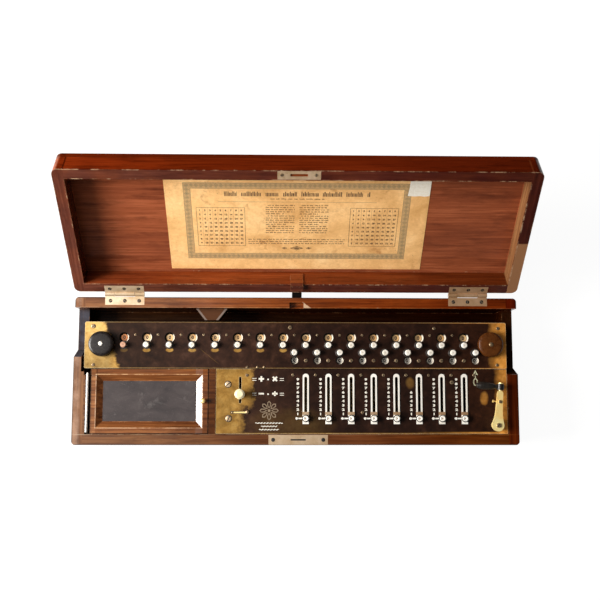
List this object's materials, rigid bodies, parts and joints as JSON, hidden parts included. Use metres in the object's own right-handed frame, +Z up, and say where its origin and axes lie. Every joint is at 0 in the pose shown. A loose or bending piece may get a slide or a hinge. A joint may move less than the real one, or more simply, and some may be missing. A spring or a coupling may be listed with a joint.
{
  "type": "stepped-drum calculating machine",
  "caption": "Hand-cranked stepped-drum calculating machine in a hinged wooden case, with setting slides, sliding carriage of number dials, slate and folding crank grip",
  "frame": {"origin": "centre of the case's flat underside", "axes": "+X to the right along the case, +Y to the back towards the lid hinges, +Z up"},
  "size_m": [0.59, 0.3554, 0.2203],
  "materials": {
    "case_wood": "French-polished mahogany, worn at the edges",
    "dark_wood": "dark polished hardwood",
    "pale_brass": "dulled brass",
    "worn_lacquer": "brown-black lacquer worn through to brass",
    "white_metal": "bright white metal",
    "works_brass": "machined brass",
    "works_steel": "turned steel",
    "polished_brass": "hand-polished brass",
    "black_grip": "polished black hardwood",
    "black_knob": "blackened metal, rubbed at the rim",
    "ivory": "polished bone",
    "dial_metal": "silvered discs with white finger pegs",
    "old_paper": "browned, stained printed sheet",
    "slate": "matt writing slate"
  },
  "bodies": {
    "case": {"case_boards": "case_wood", "case_fittings": "pale_brass", "machine_plate": "worn_lacquer", "slot_frames": "white_metal", "chassis": "works_brass"},
    "lid": {"lid_boards": "case_wood", "lid_paper": "old_paper", "lid_fittings": "pale_brass"},
    "slate": {"slate_frame": "dark_wood", "slate_panel": "slate"},
    "crank": {"crank_arm": "polished_brass"},
    "handle": {"crank_handle": "black_grip"},
    "cross_shaft": {"cross_shaft": "works_steel"},
    "mode_lever": {"mode_lever": "ivory"},
    "reverser": {"reverser_bar": "works_brass"},
    "runner": {"carriage_runner": "works_steel"},
    "carriage": {"carriage_plate": "worn_lacquer"},
    "clear_left": {"clear_knob_left": "black_knob"},
    "clear_right": {"clear_knob_right": "black_knob"},
    "result_dial_01": {"result_dial_01": "dial_metal"},
    "result_dial_02": {"result_dial_02": "dial_metal"},
    "result_dial_03": {"result_dial_03": "dial_metal"},
    "result_dial_04": {"result_dial_04": "dial_metal"},
    "result_dial_05": {"result_dial_05": "dial_metal"},
    "result_dial_06": {"result_dial_06": "dial_metal"},
    "result_dial_07": {"result_dial_07": "dial_metal"},
    "result_dial_08": {"result_dial_08": "dial_metal"},
    "result_dial_09": {"result_dial_09": "dial_metal"},
    "result_dial_10": {"result_dial_10": "dial_metal"},
    "result_dial_11": {"result_dial_11": "dial_metal"},
    "result_dial_12": {"result_dial_12": "dial_metal"},
    "result_dial_13": {"result_dial_13": "dial_metal"},
    "result_dial_14": {"result_dial_14": "dial_metal"},
    "result_dial_15": {"result_dial_15": "dial_metal"},
    "result_dial_16": {"result_dial_16": "dial_metal"},
    "counter_dial_1": {"counter_dial_1": "dial_metal"},
    "counter_dial_2": {"counter_dial_2": "dial_metal"},
    "counter_dial_3": {"counter_dial_3": "dial_metal"},
    "counter_dial_4": {"counter_dial_4": "dial_metal"},
    "counter_dial_5": {"counter_dial_5": "dial_metal"},
    "counter_dial_6": {"counter_dial_6": "dial_metal"},
    "counter_dial_7": {"counter_dial_7": "dial_metal"},
    "counter_dial_8": {"counter_dial_8": "dial_metal"},
    "counter_dial_9": {"counter_dial_9": "dial_metal"},
    "setting_slider_1": {"setting_slider_1": "white_metal"},
    "setting_slider_2": {"setting_slider_2": "white_metal"},
    "setting_slider_3": {"setting_slider_3": "white_metal"},
    "setting_slider_4": {"setting_slider_4": "white_metal"},
    "setting_slider_5": {"setting_slider_5": "white_metal"},
    "setting_slider_6": {"setting_slider_6": "white_metal"},
    "setting_slider_7": {"setting_slider_7": "white_metal"},
    "setting_slider_8": {"setting_slider_8": "white_metal"},
    "stepped_drum_1": {"stepped_drum_1": "works_brass"},
    "stepped_drum_2": {"stepped_drum_2": "works_brass"},
    "stepped_drum_3": {"stepped_drum_3": "works_brass"},
    "stepped_drum_4": {"stepped_drum_4": "works_brass"},
    "stepped_drum_5": {"stepped_drum_5": "works_brass"},
    "stepped_drum_6": {"stepped_drum_6": "works_brass"},
    "stepped_drum_7": {"stepped_drum_7": "works_brass"},
    "stepped_drum_8": {"stepped_drum_8": "works_brass"}
  },
  "joints": [
    {"name": "lid_hinge", "type": "hinge", "parent": "case", "child": "lid", "pos_m": [0, 0.1015, 0.0702], "axis": [-1, 0, 0], "range_deg": [-131, 0]},
    {"name": "slate_hinge", "type": "hinge", "parent": "case", "child": "slate", "pos_m": [-0.2697, -0.04, 0.0635], "axis": [0, -1, 0], "range_deg": [0, 100]},
    {"name": "carriage_slide", "type": "slide", "parent": "case", "child": "runner", "axis": [1, 0, 0], "range_m": [0, 0.2416]},
    {"name": "carriage_lift", "type": "hinge", "parent": "runner", "child": "carriage", "pos_m": [0, 0.057, 0.052], "axis": [-1, 0, 0], "range_deg": [0, 25]},
    {"name": "clear_left_turn", "type": "hinge", "parent": "carriage", "child": "clear_left", "pos_m": [-0.2586, 0.035, 0.07], "axis": [0, 0, -1], "range_deg": [0, 270]},
    {"name": "clear_right_turn", "type": "hinge", "parent": "carriage", "child": "clear_right", "pos_m": [0.2582, 0.035, 0.07], "axis": [0, 0, -1], "range_deg": [0, 270]},
    {"name": "result_dial_01_turn", "type": "hinge", "parent": "carriage", "child": "result_dial_01", "pos_m": [-0.2296, 0.034, 0.064], "axis": [0, 0, 1], "continuous": true},
    {"name": "result_dial_02_turn", "type": "hinge", "parent": "carriage", "child": "result_dial_02", "pos_m": [-0.1994, 0.034, 0.064], "axis": [0, 0, 1], "continuous": true},
    {"name": "result_dial_03_turn", "type": "hinge", "parent": "carriage", "child": "result_dial_03", "pos_m": [-0.1692, 0.034, 0.064], "axis": [0, 0, 1], "continuous": true},
    {"name": "result_dial_04_turn", "type": "hinge", "parent": "carriage", "child": "result_dial_04", "pos_m": [-0.139, 0.034, 0.064], "axis": [0, 0, 1], "continuous": true},
    {"name": "result_dial_05_turn", "type": "hinge", "parent": "carriage", "child": "result_dial_05", "pos_m": [-0.1088, 0.034, 0.064], "axis": [0, 0, 1], "continuous": true},
    {"name": "result_dial_06_turn", "type": "hinge", "parent": "carriage", "child": "result_dial_06", "pos_m": [-0.0786, 0.034, 0.064], "axis": [0, 0, 1], "continuous": true},
    {"name": "result_dial_07_turn", "type": "hinge", "parent": "carriage", "child": "result_dial_07", "pos_m": [-0.0484, 0.034, 0.064], "axis": [0, 0, 1], "continuous": true},
    {"name": "result_dial_08_turn", "type": "hinge", "parent": "carriage", "child": "result_dial_08", "pos_m": [-0.0182, 0.034, 0.064], "axis": [0, 0, 1], "continuous": true},
    {"name": "result_dial_09_turn", "type": "hinge", "parent": "carriage", "child": "result_dial_09", "pos_m": [0.012, 0.034, 0.064], "axis": [0, 0, 1], "continuous": true},
    {"name": "result_dial_10_turn", "type": "hinge", "parent": "carriage", "child": "result_dial_10", "pos_m": [0.0422, 0.034, 0.064], "axis": [0, 0, 1], "continuous": true},
    {"name": "result_dial_11_turn", "type": "hinge", "parent": "carriage", "child": "result_dial_11", "pos_m": [0.0724, 0.034, 0.064], "axis": [0, 0, 1], "continuous": true},
    {"name": "result_dial_12_turn", "type": "hinge", "parent": "carriage", "child": "result_dial_12", "pos_m": [0.1026, 0.034, 0.064], "axis": [0, 0, 1], "continuous": true},
    {"name": "result_dial_13_turn", "type": "hinge", "parent": "carriage", "child": "result_dial_13", "pos_m": [0.1328, 0.034, 0.064], "axis": [0, 0, 1], "continuous": true},
    {"name": "result_dial_14_turn", "type": "hinge", "parent": "carriage", "child": "result_dial_14", "pos_m": [0.163, 0.034, 0.064], "axis": [0, 0, 1], "continuous": true},
    {"name": "result_dial_15_turn", "type": "hinge", "parent": "carriage", "child": "result_dial_15", "pos_m": [0.1932, 0.034, 0.064], "axis": [0, 0, 1], "continuous": true},
    {"name": "result_dial_16_turn", "type": "hinge", "parent": "carriage", "child": "result_dial_16", "pos_m": [0.2234, 0.034, 0.064], "axis": [0, 0, 1], "continuous": true},
    {"name": "counter_dial_1_turn", "type": "hinge", "parent": "carriage", "child": "counter_dial_1", "pos_m": [-0.0031, 0.0241, 0.062], "axis": [0, 0, 1], "continuous": true},
    {"name": "counter_dial_2_turn", "type": "hinge", "parent": "carriage", "child": "counter_dial_2", "pos_m": [0.0271, 0.0241, 0.062], "axis": [0, 0, 1], "continuous": true},
    {"name": "counter_dial_3_turn", "type": "hinge", "parent": "carriage", "child": "counter_dial_3", "pos_m": [0.0573, 0.0241, 0.062], "axis": [0, 0, 1], "continuous": true},
    {"name": "counter_dial_4_turn", "type": "hinge", "parent": "carriage", "child": "counter_dial_4", "pos_m": [0.0875, 0.0241, 0.062], "axis": [0, 0, 1], "continuous": true},
    {"name": "counter_dial_5_turn", "type": "hinge", "parent": "carriage", "child": "counter_dial_5", "pos_m": [0.1177, 0.0241, 0.062], "axis": [0, 0, 1], "continuous": true},
    {"name": "counter_dial_6_turn", "type": "hinge", "parent": "carriage", "child": "counter_dial_6", "pos_m": [0.1479, 0.0241, 0.062], "axis": [0, 0, 1], "continuous": true},
    {"name": "counter_dial_7_turn", "type": "hinge", "parent": "carriage", "child": "counter_dial_7", "pos_m": [0.1781, 0.0241, 0.062], "axis": [0, 0, 1], "continuous": true},
    {"name": "counter_dial_8_turn", "type": "hinge", "parent": "carriage", "child": "counter_dial_8", "pos_m": [0.2083, 0.0241, 0.062], "axis": [0, 0, 1], "continuous": true},
    {"name": "counter_dial_9_turn", "type": "hinge", "parent": "carriage", "child": "counter_dial_9", "pos_m": [0.2385, 0.0241, 0.062], "axis": [0, 0, 1], "continuous": true},
    {"name": "setting_slider_1_slide", "type": "slide", "parent": "case", "child": "setting_slider_1", "axis": [0, 1, 0], "range_m": [0, 0.0513]},
    {"name": "setting_slider_2_slide", "type": "slide", "parent": "case", "child": "setting_slider_2", "axis": [0, 1, 0], "range_m": [0, 0.0513]},
    {"name": "setting_slider_3_slide", "type": "slide", "parent": "case", "child": "setting_slider_3", "axis": [0, 1, 0], "range_m": [0, 0.0513]},
    {"name": "setting_slider_4_slide", "type": "slide", "parent": "case", "child": "setting_slider_4", "axis": [0, 1, 0], "range_m": [0, 0.0513]},
    {"name": "setting_slider_5_slide", "type": "slide", "parent": "case", "child": "setting_slider_5", "axis": [0, 1, 0], "range_m": [0, 0.0513]},
    {"name": "setting_slider_6_slide", "type": "slide", "parent": "case", "child": "setting_slider_6", "axis": [0, 1, 0], "range_m": [0, 0.0513]},
    {"name": "setting_slider_7_slide", "type": "slide", "parent": "case", "child": "setting_slider_7", "axis": [0, 1, 0], "range_m": [0, 0.0513]},
    {"name": "setting_slider_8_slide", "type": "slide", "parent": "case", "child": "setting_slider_8", "axis": [0, 1, 0], "range_m": [0, 0.0513]},
    {"name": "mode_slide", "type": "slide", "parent": "case", "child": "mode_lever", "axis": [0, 1, 0], "range_m": [0, 0.02]},
    {"name": "reverser_slide", "type": "slide", "parent": "case", "child": "reverser", "axis": [0, 1, 0], "range_m": [0, 0.01]},
    {"name": "crank_turn", "type": "hinge", "parent": "case", "child": "crank", "pos_m": [0.265, -0.0715, 0.0772], "axis": [0, 0, -1], "range_deg": [0, 360]},
    {"name": "handle_fold", "type": "hinge", "parent": "crank", "child": "handle", "pos_m": [0.26936, -0.02169, 0.0772], "axis": [0.0872, 0.9962, 0], "range_deg": [0, 90]},
    {"name": "cross_shaft_turn", "type": "hinge", "parent": "case", "child": "cross_shaft", "pos_m": [0.1, -0.0715, 0.023], "axis": [-1, 0, 0], "range_deg": [0, 360]},
    {"name": "stepped_drum_1_turn", "type": "hinge", "parent": "case", "child": "stepped_drum_1", "pos_m": [0.012, -0.035, 0.023], "axis": [0, -1, 0], "range_deg": [0, 360]},
    {"name": "stepped_drum_2_turn", "type": "hinge", "parent": "case", "child": "stepped_drum_2", "pos_m": [0.0422, -0.035, 0.023], "axis": [0, -1, 0], "range_deg": [0, 360]},
    {"name": "stepped_drum_3_turn", "type": "hinge", "parent": "case", "child": "stepped_drum_3", "pos_m": [0.0724, -0.035, 0.023], "axis": [0, -1, 0], "range_deg": [0, 360]},
    {"name": "stepped_drum_4_turn", "type": "hinge", "parent": "case", "child": "stepped_drum_4", "pos_m": [0.1026, -0.035, 0.023], "axis": [0, -1, 0], "range_deg": [0, 360]},
    {"name": "stepped_drum_5_turn", "type": "hinge", "parent": "case", "child": "stepped_drum_5", "pos_m": [0.1328, -0.035, 0.023], "axis": [0, -1, 0], "range_deg": [0, 360]},
    {"name": "stepped_drum_6_turn", "type": "hinge", "parent": "case", "child": "stepped_drum_6", "pos_m": [0.163, -0.035, 0.023], "axis": [0, -1, 0], "range_deg": [0, 360]},
    {"name": "stepped_drum_7_turn", "type": "hinge", "parent": "case", "child": "stepped_drum_7", "pos_m": [0.1932, -0.035, 0.023], "axis": [0, -1, 0], "range_deg": [0, 360]},
    {"name": "stepped_drum_8_turn", "type": "hinge", "parent": "case", "child": "stepped_drum_8", "pos_m": [0.2234, -0.035, 0.023], "axis": [0, -1, 0], "range_deg": [0, 360]}
  ],
  "couplings": [
    {"joint": "reverser_slide", "follows": "mode_slide", "ratio": 0.5},
    {"joint": "cross_shaft_turn", "follows": "crank_turn", "ratio": 1},
    {"joint": "stepped_drum_1_turn", "follows": "crank_turn", "ratio": 1},
    {"joint": "stepped_drum_2_turn", "follows": "crank_turn", "ratio": 1},
    {"joint": "stepped_drum_3_turn", "follows": "crank_turn", "ratio": 1},
    {"joint": "stepped_drum_4_turn", "follows": "crank_turn", "ratio": 1},
    {"joint": "stepped_drum_5_turn", "follows": "crank_turn", "ratio": 1},
    {"joint": "stepped_drum_6_turn", "follows": "crank_turn", "ratio": 1},
    {"joint": "stepped_drum_7_turn", "follows": "crank_turn", "ratio": 1},
    {"joint": "stepped_drum_8_turn", "follows": "crank_turn", "ratio": 1}
  ]
}
